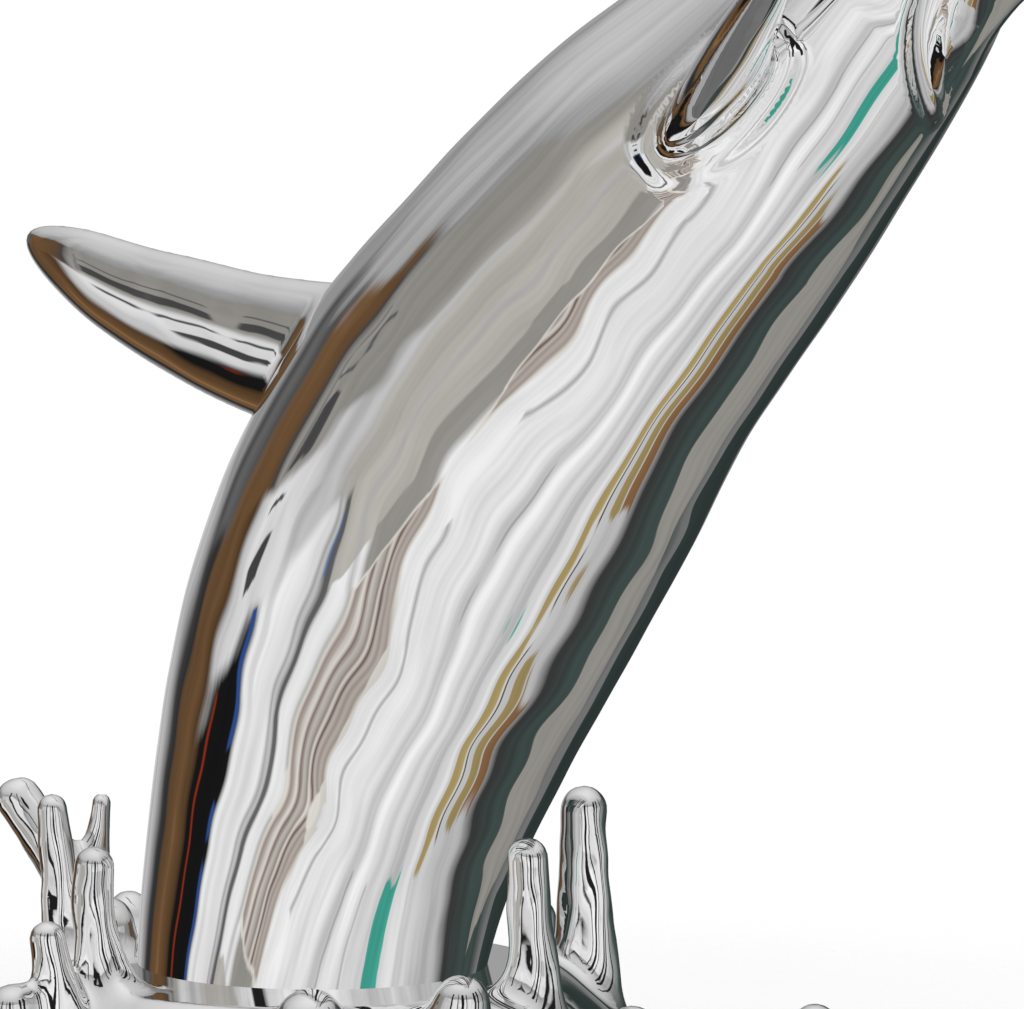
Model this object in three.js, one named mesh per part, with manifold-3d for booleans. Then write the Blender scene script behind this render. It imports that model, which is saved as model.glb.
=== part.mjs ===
// A leaping whale in mirror-polished stainless steel, rising from a crown of splash fingers.
// Millimetres, +Z up. The whale leaps towards +X; its foot stands over the origin, its flanks face -Y and +Y.
import * as THREE from "three";
import { LoftGeometry } from "three/addons/geometries/LoftGeometry.js";
import { mergeVertices } from "three/addons/utils/BufferGeometryUtils.js";
import Module from "manifold-3d";

const wasm = await Module();
wasm.setup();

const DEG = Math.PI / 180;
const FLANK = new THREE.Vector3(0, -1, 0);

// Spine: its lean from the vertical grows along the length, quickly at first and then less; the head lifts
const LEAN_AT_FOOT = 3.0 * DEG;
const LEAN_RATE = 0.0479 * DEG;
const LEAN_EASING = 9.75e-6 * DEG;
const HEAD_LIFT_START = 1650;
const HEAD_LIFT = 0.00253 * DEG;
const HEAD_LIFT_CURVE = 1.5;
const SPINE_STEPS = 240;
const GIRTH_STEPS = 400;

// Girth: half the depth of the body from back to belly, at distances along the spine
const GIRTH = [
  [0, 250],
  [325, 271],
  [650, 307],
  [975, 315],
  [1300, 280],
  [1625, 236],
  [1880, 184],
  [2100, 136],
  [2250, 92],
  [2325, 50],
  [2350, 12],
];
const SPINE_LENGTH = GIRTH.at(-1)[0];
const BODY_BREADTH = 0.94; // breadth of the body over its depth
const BODY_STATIONS = 40;
const BODY_AROUND = 34;

// Dorsal fin, a tall swept blade in the plane of symmetry
const FIN_ROOT = new THREE.Vector3(220, 0, 1018);
const FIN_BEND = new THREE.Vector3(-200, 0, 1054);
const FIN_TIP = new THREE.Vector3(-683, 0, 1236);
const FIN_HALF_CHORD = 127;
const FIN_HALF_THICKNESS = 44;
const FIN_TAPER = 0.5;

// Flippers: where each leaves the body, along the spine and as an angle from the -Y flank towards the belly,
// how it is held, and the twist of its chord away from the line of the spine
const FLIPPER_LENGTH = 540;
const FLIPPER_HALF_CHORD = 92;
const FLIPPER_HALF_THICKNESS = 40;
const FLIPPER_TAPER = 0.5;
const FLIPPER_ROOT_DEPTH = 0.4;
const FLIPPER_BEND = 0.15;
const FLIPPER_FLARE = 0.2;
const FLIPPERS = [
  { station: 1700, angle: 19, turn: -1, forward: 0.95, outward: 0.25, raised: 0, twist: 0 },
  { station: 1930, angle: 78, turn: 1, forward: 1, outward: -0.25, raised: 0.12, twist: -50 },
];

// Splash base: an oval mound of water with a level pool round the foot of the whale
const POOL_LEVEL = 175;
const SEAT_GAP = 0.3;
const POOL = { x: 60, y: -40, halfLength: 350, halfWidth: 340 };
const RIM = { x: 190, y: 0, halfLength: 690, halfWidth: 560 };
const RIM_LOBES = 9;
const RIM_LOBE_DEPTH = 0.035;
const RIM_HEIGHT = 24;
const RIM_ROUNDING = 0.015;
const RIM_WIDEST = 0.4; // share of the rim's height where it is widest
const MOUND_FALL = 0.36;
const MOUND_CURVE = 1.6;
const MOUND_RINGS = 7;
const MOUND_CROWDING = 1.5; // draws the rings together towards the pool
const MOUND_AROUND = 60;

// Splash fingers: direction and distance from the foot, height of the tip, half thickness, how far the tip
// leans out from the root and round the crown, and the share of that lean reached at half height
const FINGER_FOOT = 14;
const FINGER_SPREAD = 0.7; // extra thickness at the root, which fades with a high power of the height
const FINGER_SPREAD_CURVE = 4;
const FINGER_TAPER = 0.18;
const FINGER_BEND = 0.35;
const FINGERS = [
  { at: 55, reach: 419, height: 419, half: 42, out: -6, round: 0 },
  { at: 7, reach: 452, height: 387, half: 34, out: -10, round: -12 },
  { at: -14, reach: 486, height: 219, half: 46, out: 0, round: 16 },
  { at: -38, reach: 481, height: 211, half: 55, out: 0, round: 7 },
  { at: -74, reach: 360, height: 372, half: 34, out: 12, round: -80, bend: 1.2 },
  { at: -83, reach: 437, height: 277, half: 28, out: 29, round: -34 },
  { at: -87, reach: 508, height: 196, half: 36, out: 11, round: -11 },
  { at: -124, reach: 330, height: 416, half: 28, out: 28, round: -30 },
  { at: -135, reach: 285, height: 262, half: 51, out: 0, round: 0 },
  { at: -146, reach: 287, height: 416, half: 38, out: 178, round: -23, bend: 0.05 },
  { at: -151, reach: 337, height: 400, half: 18, out: -10, round: -22 },
  { at: -168, reach: 335, height: 245, half: 39, out: 0, round: 0 },
  { at: 162, reach: 400, height: 400, half: 39, out: 75, round: -15 },
  { at: 136, reach: 385, height: 300, half: 36, out: 60, round: 25 },
  { at: 108, reach: 380, height: 390, half: 41, out: 50, round: -25 },
  { at: 82, reach: 400, height: 230, half: 41, out: 20, round: 10 },
  { at: 25, reach: 767, height: 160, half: 41, out: 19, round: 8 },
  { at: 5, reach: 627, height: 179, half: 40, out: 10, round: 6 },
];

// Facets of the fins and fingers
const FIN_STATIONS = 14;
const FIN_AROUND = 20;
const FINGER_STATIONS = 8;
const FINGER_AROUND = 10;

function leanAt(s) {
  const lift = HEAD_LIFT * Math.max(s - HEAD_LIFT_START, 0) ** HEAD_LIFT_CURVE;
  return LEAN_AT_FOOT + LEAN_RATE * s - LEAN_EASING * s * s - lift;
}
const forwardAt = (s) => new THREE.Vector3(Math.sin(leanAt(s)), 0, Math.cos(leanAt(s)));
const bellyAt = (s) => new THREE.Vector3(Math.cos(leanAt(s)), 0, -Math.sin(leanAt(s)));

// The spine, summed up in short straight steps
const spineStep = SPINE_LENGTH / SPINE_STEPS;
const spineNodes = [new THREE.Vector3()];
for (let i = 0; i < SPINE_STEPS; i++) {
  spineNodes.push(spineNodes[i].clone().addScaledVector(forwardAt((i + 0.5) * spineStep), spineStep));
}
function spineAt(s) {
  const at = THREE.MathUtils.clamp(s / spineStep, 0, SPINE_STEPS);
  const i = Math.min(Math.floor(at), SPINE_STEPS - 1);
  return spineNodes[i].clone().lerp(spineNodes[i + 1], at - i);
}

const girthCurve = new THREE.SplineCurve(GIRTH.map(([s, half]) => new THREE.Vector2(s, half)));
const girthPoints = girthCurve.getPoints(GIRTH_STEPS);
function girthAt(s) {
  const found = girthPoints.findIndex((p) => p.x > s);
  if (found < 1) return found === 0 ? girthPoints[0].y : girthPoints.at(-1).y;
  const [a, b] = [girthPoints[found - 1], girthPoints[found]];
  return THREE.MathUtils.mapLinear(s, a.x, b.x, a.y, b.y);
}

// A closed skin over elliptic sections: each has a centre and two half axes as vectors, the second a quarter
// turn to the left of the first for someone looking back from the far end.
function skin(sections, around) {
  const rings = sections.map(({ centre, wide, thick }) =>
    Array.from({ length: around }, (_, k) => {
      const angle = (2 * Math.PI * k) / around;
      return centre.clone().addScaledVector(wide, Math.cos(angle)).addScaledVector(thick, Math.sin(angle));
    }),
  );
  return solid(new LoftGeometry(rings, { closed: true, capStart: true, capEnd: true }));
}

// A limb along a curve, with closer sections towards the rounded tip; its width follows the given direction
function limb(curve, across, halfWidth, halfThickness, stations, around) {
  const sections = Array.from({ length: stations + 1 }, (_, i) => {
    const t = Math.sin((0.5 * Math.PI * i) / stations);
    const along = curve.getTangent(t);
    const wide = across.clone().addScaledVector(along, -across.dot(along)).normalize();
    const thick = along.clone().cross(wide);
    return {
      centre: curve.getPoint(t),
      wide: wide.multiplyScalar(halfWidth(t)),
      thick: thick.multiplyScalar(halfThickness(t)),
    };
  });
  return skin(sections, around);
}

// A closed solid from a geometry, with its doubled corners joined
const JOIN_WITHIN = 1e-3;
function solid(geometry) {
  const bare = new THREE.BufferGeometry()
    .setAttribute("position", geometry.getAttribute("position"))
    .setIndex(geometry.getIndex());
  const merged = mergeVertices(bare, JOIN_WITHIN);
  return new wasm.Manifold(
    new wasm.Mesh({
      numProp: 3,
      vertProperties: merged.attributes.position.array,
      triVerts: new Uint32Array(merged.index.array),
    }),
  );
}

// Body of the whale, from its foot to its snout
function bodySkin(clearance) {
  const sections = Array.from({ length: BODY_STATIONS + 1 }, (_, i) => {
    const s = SPINE_LENGTH * Math.sin((0.5 * Math.PI * i) / BODY_STATIONS);
    const half = girthAt(s) + clearance;
    return {
      centre: spineAt(s),
      wide: FLANK.clone().multiplyScalar(half * BODY_BREADTH),
      thick: bellyAt(s).multiplyScalar(half),
    };
  });
  return skin(sections, BODY_AROUND);
}

// Blade size at a share t of its length: drawn in evenly and rounded off at the tip
const TIP_ROUNDING = 7;
const TIP_LEFT = 0.004;
function blade(full, taper) {
  return (t) => full * (1 - taper * t) * Math.sqrt(Math.max(1 - t ** TIP_ROUNDING, TIP_LEFT));
}

function dorsalFin() {
  const curve = new THREE.QuadraticBezierCurve3(FIN_ROOT, FIN_BEND, FIN_TIP);
  const across = FIN_BEND.clone().sub(FIN_TIP).cross(FLANK);
  const chord = blade(FIN_HALF_CHORD, FIN_TAPER);
  const thickness = blade(FIN_HALF_THICKNESS, FIN_TAPER / 2);
  return limb(curve, across, chord, thickness, FIN_STATIONS, FIN_AROUND);
}

function flipper({ station, angle, turn, forward, outward, raised, twist }) {
  const out = FLANK.clone().multiplyScalar(Math.cos(angle * DEG));
  out.addScaledVector(bellyAt(station), Math.sin(angle * DEG));
  const ahead = forwardAt(station);
  const up = out.clone().cross(ahead).multiplyScalar(-turn);
  const held = ahead.clone().multiplyScalar(forward);
  held.addScaledVector(out, outward).addScaledVector(up, raised);
  const half = girthAt(station);
  const root = spineAt(station).addScaledVector(out, FLIPPER_ROOT_DEPTH * half);
  const bend = spineAt(station).addScaledVector(out, half);
  bend.addScaledVector(held, FLIPPER_BEND * FLIPPER_LENGTH);
  const flared = held.lerp(out, FLIPPER_FLARE);
  const tip = bend.clone().addScaledVector(flared, (1 - FLIPPER_BEND) * FLIPPER_LENGTH);
  const curve = new THREE.QuadraticBezierCurve3(root, bend, tip);
  const chord = blade(FLIPPER_HALF_CHORD, FLIPPER_TAPER);
  const thickness = blade(FLIPPER_HALF_THICKNESS, FLIPPER_TAPER);
  const across = ahead.multiplyScalar(Math.cos(twist * DEG)).addScaledVector(up, Math.sin(twist * DEG));
  return limb(curve, across, chord, thickness, FIN_STATIONS, FIN_AROUND);
}

// Mound: rings that run from the lobed rim, rounded at its edge, up the fall of water to the level pool
function mound() {
  const mix = (pool, rim, share) => pool + (rim - pool) * share;
  const profile = [
    [1, 0],
    [1 + RIM_ROUNDING, RIM_WIDEST * RIM_HEIGHT],
  ];
  for (let i = 0; i <= MOUND_RINGS; i++) {
    const share = (1 - i / MOUND_RINGS) ** MOUND_CROWDING;
    const fall = Math.exp(-((share / MOUND_FALL) ** MOUND_CURVE));
    profile.push([share, mix(RIM_HEIGHT, POOL_LEVEL, fall)]);
  }
  const rings = profile.map(([share, z]) =>
    Array.from({ length: MOUND_AROUND }, (_, k) => {
      const angle = (2 * Math.PI * k) / MOUND_AROUND;
      const lobe = 1 + RIM_LOBE_DEPTH * share * Math.cos(RIM_LOBES * angle);
      const length = mix(POOL.halfLength, RIM.halfLength, share) * lobe;
      const width = mix(POOL.halfWidth, RIM.halfWidth, share) * lobe;
      const x = mix(POOL.x, RIM.x, share) + length * Math.cos(angle);
      const y = mix(POOL.y, RIM.y, share) + width * Math.sin(angle);
      return new THREE.Vector3(x, y, z);
    }),
  );
  return solid(new LoftGeometry(rings, { closed: true, capStart: true, capEnd: true }));
}

// A splash finger: thick at its root, drawn in a little above, with a round tip
function finger({ at, reach, height, half, out, round, bend = FINGER_BEND }) {
  const radial = new THREE.Vector3(Math.cos(at * DEG), Math.sin(at * DEG), 0);
  const sideways = new THREE.Vector3(-radial.y, radial.x, 0);
  const root = radial.clone().multiplyScalar(reach).setZ(FINGER_FOOT);
  const tip = root.clone().addScaledVector(radial, out).addScaledVector(sideways, round).setZ(height);
  const middle = root.clone().lerp(tip, bend).setZ(0.5 * (FINGER_FOOT + height));
  const curve = new THREE.QuadraticBezierCurve3(root, middle, tip);
  const capStart = 1 - half / curve.getLength();
  const size = (t) => {
    const cap = Math.max(0, (t - capStart) / (1 - capStart));
    const rounded = Math.sqrt(Math.max(1 - cap * cap, TIP_LEFT));
    return half * (1 - FINGER_TAPER * t + FINGER_SPREAD * (1 - t) ** FINGER_SPREAD_CURVE) * rounded;
  };
  return limb(curve, sideways, size, size, FINGER_STATIONS, FINGER_AROUND);
}

// Everything below a level, to cut a foot or an underside flat
const CUT_SIZE = 4000;
function below(z) {
  const box = new THREE.BoxGeometry(CUT_SIZE, CUT_SIZE, CUT_SIZE);
  return solid(box.translate(0, 0, z - CUT_SIZE / 2));
}
const FINGER_CLEARANCE = 4;

let whale = bodySkin(0).add(dorsalFin());
for (const held of FLIPPERS) whale = whale.add(flipper(held));
whale = whale.subtract(below(POOL_LEVEL + SEAT_GAP));

let splash = mound();
for (const shape of FINGERS) splash = splash.add(finger(shape));
splash = splash.subtract(bodySkin(FINGER_CLEARANCE).subtract(below(POOL_LEVEL))).subtract(below(0));

const POLISHED_STEEL = { color: 0xd9dadb, roughness: 0.05, metalness: 1 };

function meshOf(name, body) {
  const { vertProperties, triVerts } = body.getMesh();
  const geometry = new THREE.BufferGeometry()
    .setAttribute("position", new THREE.BufferAttribute(vertProperties, 3))
    .setIndex(new THREE.BufferAttribute(triVerts, 1));
  geometry.computeVertexNormals();
  const mesh = new THREE.Mesh(geometry, new THREE.MeshStandardMaterial(POLISHED_STEEL));
  mesh.name = name;
  return mesh;
}

const sculpture = new THREE.Group();
sculpture.add(meshOf("whale", whale));
sculpture.add(meshOf("splash_base", splash));

export default sculpture;
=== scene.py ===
# %% [markdown]
# # A leaping whale in mirror-polished steel
#
# The sculpture has two pieces. The whale is one polished skin: a long body, a tall back fin and two flippers,
# all ground and blended into each other until no seam is left. It stands in a splash base, a low mound of
# water with a crown of rounded fingers. This lesson makes both as fine skins over the solids of the shared
# frame, gives them a mirror finish, and lights them.

# %% Load the shared frame
import math

import bpy
import numpy as np
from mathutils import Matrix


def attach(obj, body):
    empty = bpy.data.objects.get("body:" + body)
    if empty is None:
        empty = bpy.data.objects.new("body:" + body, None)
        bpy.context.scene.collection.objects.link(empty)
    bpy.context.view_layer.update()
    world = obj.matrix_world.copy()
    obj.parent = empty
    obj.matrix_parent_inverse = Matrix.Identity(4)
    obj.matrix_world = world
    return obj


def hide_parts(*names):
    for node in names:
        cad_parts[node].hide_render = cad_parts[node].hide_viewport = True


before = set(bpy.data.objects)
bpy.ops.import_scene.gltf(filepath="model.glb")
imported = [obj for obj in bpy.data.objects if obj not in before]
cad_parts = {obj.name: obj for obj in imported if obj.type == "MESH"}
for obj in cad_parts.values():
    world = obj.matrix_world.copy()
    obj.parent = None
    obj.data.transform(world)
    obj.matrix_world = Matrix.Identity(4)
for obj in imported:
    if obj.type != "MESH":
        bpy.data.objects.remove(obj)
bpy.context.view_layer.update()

# %% [markdown]
# ## The body's sizes
#
# The body is a round section carried along a curved spine. The spine lies in the plane of symmetry, so its
# lean from the vertical says everything about its path. Half the body's depth is known at a few stations.
# A cubic spline through the squares of those sizes keeps the bend of the skin continuous, which matters on a
# mirror: a kink in the bend shows as a broken streak. Squares also let the snout close as a round end.

# %% Spine and girth of the body
SPINE_LENGTH = 2.350
LEAN_AT_FOOT = math.radians(3.0)
LEAN_RATE = math.radians(47.9)
LEAN_EASING = math.radians(9.75)
HEAD_LIFT_START = 1.650
HEAD_LIFT = math.radians(80)
HEAD_LIFT_CURVE = 1.5
SPINE_STEPS = 2400
GIRTH = np.array([
    (0.000, 0.250), (0.325, 0.271), (0.650, 0.307), (0.975, 0.315), (1.300, 0.280), (1.625, 0.236),
    (1.880, 0.184), (2.100, 0.136), (2.250, 0.092), (2.325, 0.050), (2.350, 0.003),
])
LEAST_GIRTH_SQUARED = 1e-5
BODY_BREADTH = 0.94
FLANK = np.array([0.0, -1.0, 0.0])


def lean(s):
    """Angle of the spine from the vertical: a quadratic in the distance s, less the lift of the head."""
    lift = HEAD_LIFT * np.maximum(s - HEAD_LIFT_START, 0) ** HEAD_LIFT_CURVE
    return LEAN_AT_FOOT + LEAN_RATE * s - LEAN_EASING * s * s - lift


spine_s = np.linspace(0, SPINE_LENGTH, SPINE_STEPS + 1)
spine_middles = (spine_s[1:] + spine_s[:-1]) / 2
spine_step = spine_s[1] - spine_s[0]
spine_x = np.concatenate([[0], np.cumsum(np.sin(lean(spine_middles)) * spine_step)])
spine_z = np.concatenate([[0], np.cumsum(np.cos(lean(spine_middles)) * spine_step)])


def natural_spline(knots, values):
    """A cubic spline through the knots, straight at both ends, and its slope, as two functions."""
    gaps = np.diff(knots)
    count = len(knots)
    inner = np.arange(1, count - 1)
    system = np.eye(count)
    system[inner, inner - 1] = gaps[:-1]
    system[inner, inner] = 2 * (gaps[:-1] + gaps[1:])
    system[inner, inner + 1] = gaps[1:]
    right = np.zeros(count)
    right[inner] = 6 * np.diff(np.diff(values) / gaps)
    bend = np.linalg.solve(system, right)

    def span_of(x):
        i = np.clip(np.searchsorted(knots, x) - 1, 0, count - 2)
        b = (x - knots[i]) / gaps[i]
        return i, 1 - b, b

    def value(x):
        i, a, b = span_of(x)
        curl = (a**3 - a) * bend[i] + (b**3 - b) * bend[i + 1]
        return a * values[i] + b * values[i + 1] + curl * gaps[i] ** 2 / 6

    def slope(x):
        i, a, b = span_of(x)
        curl = (3 * b * b - 1) * bend[i + 1] - (3 * a * a - 1) * bend[i]
        return (values[i + 1] - values[i]) / gaps[i] + curl * gaps[i] / 6

    return value, slope


girth_squared, girth_squared_slope = natural_spline(GIRTH[:, 0], GIRTH[:, 1] ** 2)


def girth(s):
    """Half the depth of the body at a distance s along the spine."""
    return np.sqrt(np.maximum(girth_squared(s), LEAST_GIRTH_SQUARED))


def spine(s):
    """Point of the spine, its forward direction and its belly direction, each as a vector."""
    point = np.array([np.interp(s, spine_s, spine_x), 0, np.interp(s, spine_s, spine_z)])
    forward = np.array([math.sin(lean(s)), 0, math.cos(lean(s))])
    belly = np.array([math.cos(lean(s)), 0, -math.sin(lean(s))])
    return point, forward, belly


print("snout at", spine(SPINE_LENGTH)[0].round(3))

# %% [markdown]
# ## One skin from several forms
#
# A grid of two parameters can follow the body or a fin, but not the soft corner where one grows out of the
# other. So each form is written as a field instead: a function of space that is negative inside, zero on the
# skin and positive outside, and that grows like the distance. Two fields join by a smooth minimum, which
# rounds the corner between them as a grinder does.

# %% Fields of the forms
FAR = 0.5
TINY = 1e-9
SPINE_SLIDES = 12
CURVE_TRIALS = 17
CURVE_SLIDES = 4


def smooth_least(a, b, width):
    """The lesser of two fields, with the corner between them filled over about the given width."""
    overlap = np.maximum(width - np.abs(a - b), 0) / width
    return np.minimum(a, b) - overlap * overlap * width / 4


def smooth_most(a, b, width):
    """The greater of two fields, with its edge rounded over about the given width."""
    return -smooth_least(-a, -b, width)


def spine_offsets(at, s):
    """How far each place lies from the spine's point at s: along the spine, and across towards the belly."""
    away_x = at[:, 0] - np.interp(s, spine_s, spine_x)
    away_z = at[:, 2] - np.interp(s, spine_s, spine_z)
    tilt = lean(s)
    along = away_x * np.sin(tilt) + away_z * np.cos(tilt)
    across = away_x * np.cos(tilt) - away_z * np.sin(tilt)
    return along, across


def body_field(at):
    """Distance from the spine less the girth there; each place first slides to its nearest spine point."""
    s = np.full(len(at), 0.5 * SPINE_LENGTH)
    for _ in range(SPINE_SLIDES):
        along, across = spine_offsets(at, s)
        s = np.clip(s + along, 0, SPINE_LENGTH)
    along, across = spine_offsets(at, s)
    half = girth(s)
    slope = girth_squared_slope(s) / (2 * half)
    away = np.sqrt(across**2 + (at[:, 1] / BODY_BREADTH) ** 2 + along**2)
    return (away - half) / np.sqrt(1 + slope * slope)


def curve_point(curve, share):
    """Point at a share along a quadratic curve given by its root, bend and tip."""
    root, bend, tip = curve
    t = share[:, None]
    return (1 - t) ** 2 * root + 2 * t * (1 - t) * bend + t * t * tip


def curve_tangent(curve, share):
    """Rate of change of the point along a quadratic curve."""
    root, bend, tip = curve
    t = share[:, None]
    return 2 * (1 - t) * (bend - root) + 2 * t * (tip - bend)


def nearest_share(curve, at):
    """Share along the curve nearest to each place: the best of some trials, then a few sliding steps."""
    trials = np.linspace(0, 1, CURVE_TRIALS)
    spots = curve_point(curve, trials)
    share = trials[((spots**2).sum(1) - 2 * at @ spots.T).argmin(1)]
    for _ in range(CURVE_SLIDES):
        tangent = curve_tangent(curve, share)
        away = at - curve_point(curve, share)
        share = np.clip(share + (away * tangent).sum(1) / (tangent**2).sum(1), 0, 1)
    return share


def within_reach(curve, at, reach):
    """True for places inside the curve's box widened by the reach."""
    points = np.array(curve)
    return np.all((at > points.min(0) - reach) & (at < points.max(0) + reach), axis=1)


BLADE_REACH = 0.25
BLADE_TIP_ROUNDING = 7
BLADE_TIP_LEFT = 0.004
BLADE_END = 0.012


def blade_field(at, curve, across, half_chord, half_thickness, taper, thickness_taper):
    """An elliptic section along a curve, drawn in evenly and rounded off at the tip."""
    field = np.full(len(at), FAR)
    near = within_reach(curve, at, BLADE_REACH)
    at = at[near]
    share = nearest_share(curve, at)
    along = curve_tangent(curve, share)
    along /= np.linalg.norm(along, axis=1)[:, None]
    wide = across - (along @ across)[:, None] * along
    wide /= np.linalg.norm(wide, axis=1)[:, None]
    thick = np.cross(along, wide)
    away = at - curve_point(curve, share)
    rounded = np.sqrt(np.maximum(1 - share**BLADE_TIP_ROUNDING, BLADE_TIP_LEFT))
    chord = half_chord * (1 - taper * share) * rounded
    thickness = half_thickness * (1 - thickness_taper * share) * rounded
    q = (away * wide).sum(1) / chord
    p = (away * thick).sum(1) / thickness
    e = (away * along).sum(1) / BLADE_END
    size = np.sqrt(q * q + p * p + e * e) + TINY
    steepness = np.sqrt((q / chord) ** 2 + (p / thickness) ** 2 + (e / BLADE_END) ** 2) + TINY
    field[near] = size * (size - 1) / steepness
    return field


# %% [markdown]
# ## From a field to a mesh
#
# Space is cut into small cubes. Every cube that the skin passes through gets one corner of the mesh, and
# every edge of the grid that the skin crosses gets one four-sided face. The corners then slide along the
# steepest way of the field until they lie on the skin, and the field's own slope gives their normals. That
# makes the normals as smooth as the formula, so the mirror shows clean streaks and not the facets.

# %% Skin of a field
SLOPE_STEP = 0.0004
COARSE = 4
CLOSE_CUBES = 2.2
SKIN_SLIDES = 5
LEAST_SLOPE_SQUARED = 0.05


def in_batches(field, at, size=200_000):
    """The field at many places, worked out a batch at a time."""
    return np.concatenate([field(at[i:i + size]) for i in range(0, len(at), size)])


def slope_of(field, at):
    """Slope of the field by central differences."""
    parts = [
        in_batches(field, at + step) - in_batches(field, at - step) for step in SLOPE_STEP * np.eye(3)
    ]
    return np.stack(parts, axis=1) / (2 * SLOPE_STEP)


def sampled(field, low, step, counts):
    """The field on a grid: coarse everywhere, and fine wherever the skin is close."""
    coarse_counts = [count // COARSE for count in counts]
    middle = (COARSE - 1) / 2
    coarse_axes = [low[a] + step * (COARSE * np.arange(coarse_counts[a]) + middle) for a in range(3)]
    places = np.stack(np.meshgrid(*coarse_axes, indexing="ij"), axis=-1).reshape(-1, 3)
    coarse = in_batches(field, places).reshape(coarse_counts)
    values = coarse.repeat(COARSE, 0).repeat(COARSE, 1).repeat(COARSE, 2)
    close = np.argwhere(np.abs(values) < CLOSE_CUBES * COARSE * step)
    values[tuple(close.T)] = in_batches(field, low + step * close)
    return values


def cell_corners(values, low, step):
    """One corner for each cube with the skin in it: the middle of the crossings on the cube's edges."""
    inside = values < 0
    cubes = np.array(values.shape) - 1
    spread = np.stack(np.meshgrid([0, 1], [0, 1], [0, 1], indexing="ij"), axis=-1).reshape(-1, 3)
    taken = np.zeros(cubes, dtype=np.int8)
    for i, j, k in spread:
        taken += inside[i:cubes[0] + i, j:cubes[1] + j, k:cubes[2] + k]
    cells = np.argwhere((taken > 0) & (taken < 8))
    total = np.zeros((len(cells), 3))
    crossings = np.zeros(len(cells))
    for start in spread:
        for axis in range(3):
            if start[axis]:
                continue
            end = start.copy()
            end[axis] = 1
            a = values[tuple((cells + start).T)]
            b = values[tuple((cells + end).T)]
            crossed = (a < 0) != (b < 0)
            share = np.where(crossed, a / np.where(crossed, a - b, 1), 0)
            total += crossed[:, None] * (start + share[:, None] * (end - start))
            crossings += crossed
    number = np.full(cubes, -1)
    number[tuple(cells.T)] = np.arange(len(cells))
    return low + step * (cells + total / crossings[:, None]), number


def edge_faces(values, number):
    """One face round each edge of the grid that the skin crosses, turned to face out."""
    faces = []
    inside = values < 0
    for axis in range(3):
        ahead, side = (axis + 1) % 3, (axis + 2) % 3
        first = np.moveaxis(inside, axis, 0)[:-1]
        last = np.moveaxis(inside, axis, 0)[1:]
        edges = np.argwhere(np.moveaxis(first != last, 0, axis))
        outward = inside[tuple(edges.T)]
        ring = []
        for step_ahead, step_side in ((1, 1), (0, 1), (0, 0), (1, 0)):
            cell = edges.copy()
            cell[:, ahead] -= step_ahead
            cell[:, side] -= step_side
            ring.append(number[tuple(cell.T)])
        ring = np.stack(ring, axis=1)
        faces.append(np.where(outward[:, None], ring, ring[:, ::-1]))
    return np.concatenate(faces)


def skin_of(name, field, finish_field, low, high, step):
    """Mesh object over the zero level of a field; the finish field adds the surface's small unevenness."""
    low = np.array(low)
    counts = [COARSE * math.ceil((b - a) / (COARSE * step)) for a, b in zip(low, high)]
    values = sampled(field, low, step, counts)
    corners, number = cell_corners(values, low, step)
    faces = edge_faces(values, number)
    for _ in range(SKIN_SLIDES):
        slope = slope_of(finish_field, corners)
        error = in_batches(finish_field, corners)
        move = error[:, None] * slope / np.maximum((slope**2).sum(1), LEAST_SLOPE_SQUARED)[:, None]
        corners -= np.clip(move, -step, step)
    normals = slope_of(finish_field, corners)
    normals /= np.linalg.norm(normals, axis=1)[:, None]
    mesh = bpy.data.meshes.new(name)
    mesh.vertices.add(len(corners))
    mesh.vertices.foreach_set("co", corners.ravel())
    mesh.loops.add(4 * len(faces))
    mesh.loops.foreach_set("vertex_index", faces.ravel())
    mesh.polygons.add(len(faces))
    mesh.polygons.foreach_set("loop_start", np.arange(0, 4 * len(faces), 4))
    mesh.update(calc_edges=True)
    mesh.validate()
    mesh.shade_smooth()
    mesh.normals_split_custom_set_from_vertices(normals)
    piece = bpy.data.objects.new(name, mesh)
    bpy.context.scene.collection.objects.link(piece)
    print(name, "has", 2 * len(faces), "triangles")
    return piece


RIPPLE_LENGTHS = (0.7, 1.4)


def ripples(at, seed, waves, length, height):
    """Soft unevenness: plane waves of about one length in random directions, added up."""
    chance = np.random.default_rng(seed)
    ways = chance.normal(size=(waves, 3))
    ways /= np.linalg.norm(ways, axis=1)[:, None]
    ways *= 2 * np.pi / (length * chance.uniform(*RIPPLE_LENGTHS, (waves, 1)))
    starts = chance.uniform(0, 2 * np.pi, waves)
    return height * math.sqrt(2 / waves) * np.sin(at @ ways.T + starts).sum(1)


# %% [markdown]
# ## The whale
#
# On the real piece the body is rolled and hammered from sheet, the fins are shaped on their own, and all of
# it is welded, filled and polished. The fin joins the back in a wide hollow corner. The flippers sit closer:
# the near one has a small raised bead round its root, and beside the far one the sheet of the chest dips in a
# crease. Hammering leaves long soft waves in the sheet, under a millimetre high, and it is these that make
# the streaks in the mirror wander. The head carries a plain mouth line and two small eyes.

# %% Fin, flippers and head of the whale
FIN = np.array([(0.220, 0, 1.018), (-0.200, 0, 1.054), (-0.683, 0, 1.236)])
FIN_HALF_CHORD = 0.127
FIN_HALF_THICKNESS = 0.044
FIN_TAPER = 0.5
FIN_FILLET = 0.09

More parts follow.
